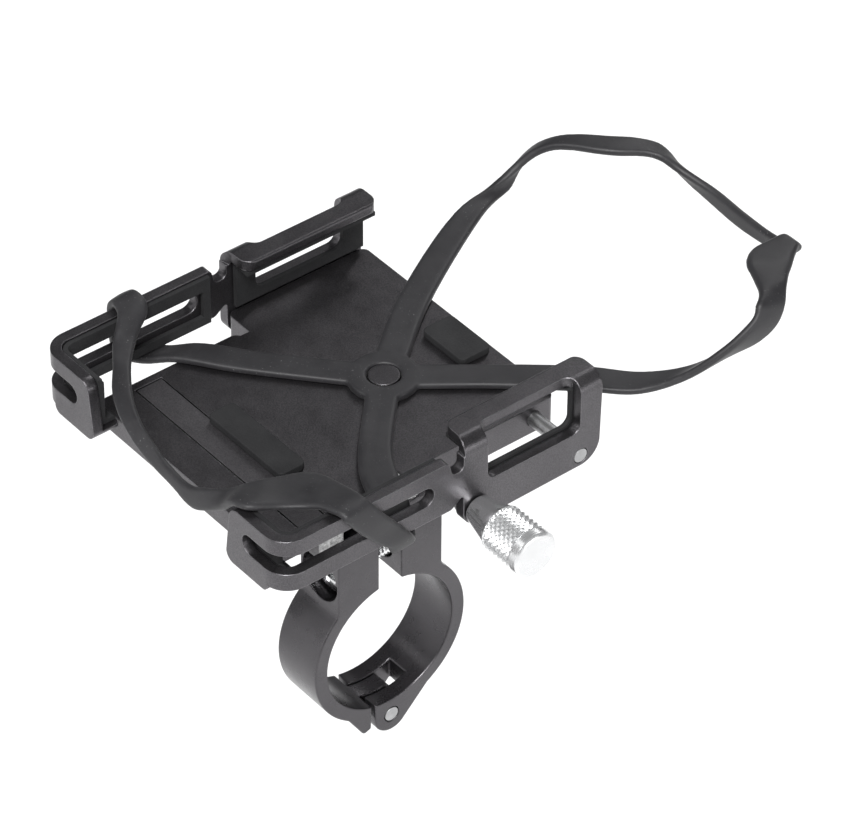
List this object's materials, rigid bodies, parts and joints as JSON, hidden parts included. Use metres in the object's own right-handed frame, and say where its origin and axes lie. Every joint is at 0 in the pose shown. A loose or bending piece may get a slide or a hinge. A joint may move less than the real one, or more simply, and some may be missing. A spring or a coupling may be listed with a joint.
{
  "type": "phone mount",
  "caption": "Handlebar phone mount: hinged bar clamp, base plate, fixed and sliding claws drawn together by a knurled thumb knob, and a stretchy corner band.",
  "frame": {"origin": "centre of the clamp's bore, on the axis of the handlebar", "axes": "+X along the handlebar towards the thumb knob, +Y along the phone from its lower end to its upper end, +Z from the handlebar up to the phone's screen"},
  "size_m": [0.092, 0.1329, 0.0659],
  "materials": {
    "anodised": "bead-blasted, dark anodised",
    "cut_metal": "sawn",
    "steel": "turned",
    "rubber": "matt",
    "silicone": "satin"
  },
  "bodies": {
    "base": {"base_plate": "anodised", "guide_bar": "cut_metal", "base_pad_1": "rubber", "base_pad_2": "rubber", "far_claw": "anodised", "far_jaw_pad": "rubber", "far_corner_pad": "rubber", "far_claw_screw_1": "steel", "far_claw_screw_2": "steel", "clamp_screw_1": "steel", "clamp_screw_2": "steel", "clamp_fixed_half": "anodised", "hinge_pin": "steel", "band_centre": "silicone", "band_lower_loop": "silicone", "band_upper_loop": "silicone"},
    "near_claw": {"near_claw": "anodised", "near_jaw_pad": "rubber", "near_corner_pad": "rubber", "guide_rod": "steel", "retaining_ring": "steel"},
    "thumb_knob": {"thumb_knob": "steel", "adjusting_screw": "steel"},
    "swing_half": {"clamp_swing_half": "anodised"},
    "washer": {"bolt_washer": "steel"},
    "bolt": {"clamp_bolt": "steel"}
  },
  "joints": [
    {"name": "near_claw_slide", "type": "slide", "parent": "base", "child": "near_claw", "axis": [1, 0, 0], "range_m": [-0.0098, 0.0175], "deforming": ["band_lower_loop"]},
    {"name": "thumb_knob_turn", "type": "hinge", "parent": "near_claw", "child": "thumb_knob", "pos_m": [0.0196, 0.0155, 0.0277], "axis": [1, 0, 0], "range_deg": [-5040.5, 9000.5]},
    {"name": "clamp_swing", "type": "hinge", "parent": "base", "child": "swing_half", "pos_m": [0, 0.0003, -0.0182], "axis": [1, 0, 0], "range_deg": [0, 75.02]},
    {"name": "washer_slide", "type": "slide", "parent": "swing_half", "child": "washer", "axis": [0, -1, 0], "range_m": [0, 0.02]},
    {"name": "clamp_bolt_turn", "type": "hinge", "parent": "washer", "child": "bolt", "pos_m": [0, -0.009, 0.0187], "axis": [0, -1, 0], "range_deg": [0, 9000.5]}
  ],
  "couplings": [
    {"joint": "thumb_knob_turn", "follows": "near_claw_slide", "rad_per_m": 8976},
    {"joint": "clamp_swing", "follows": "washer_slide", "rad_per_m": 65.45},
    {"joint": "clamp_bolt_turn", "follows": "washer_slide", "rad_per_m": 7854}
  ]
}
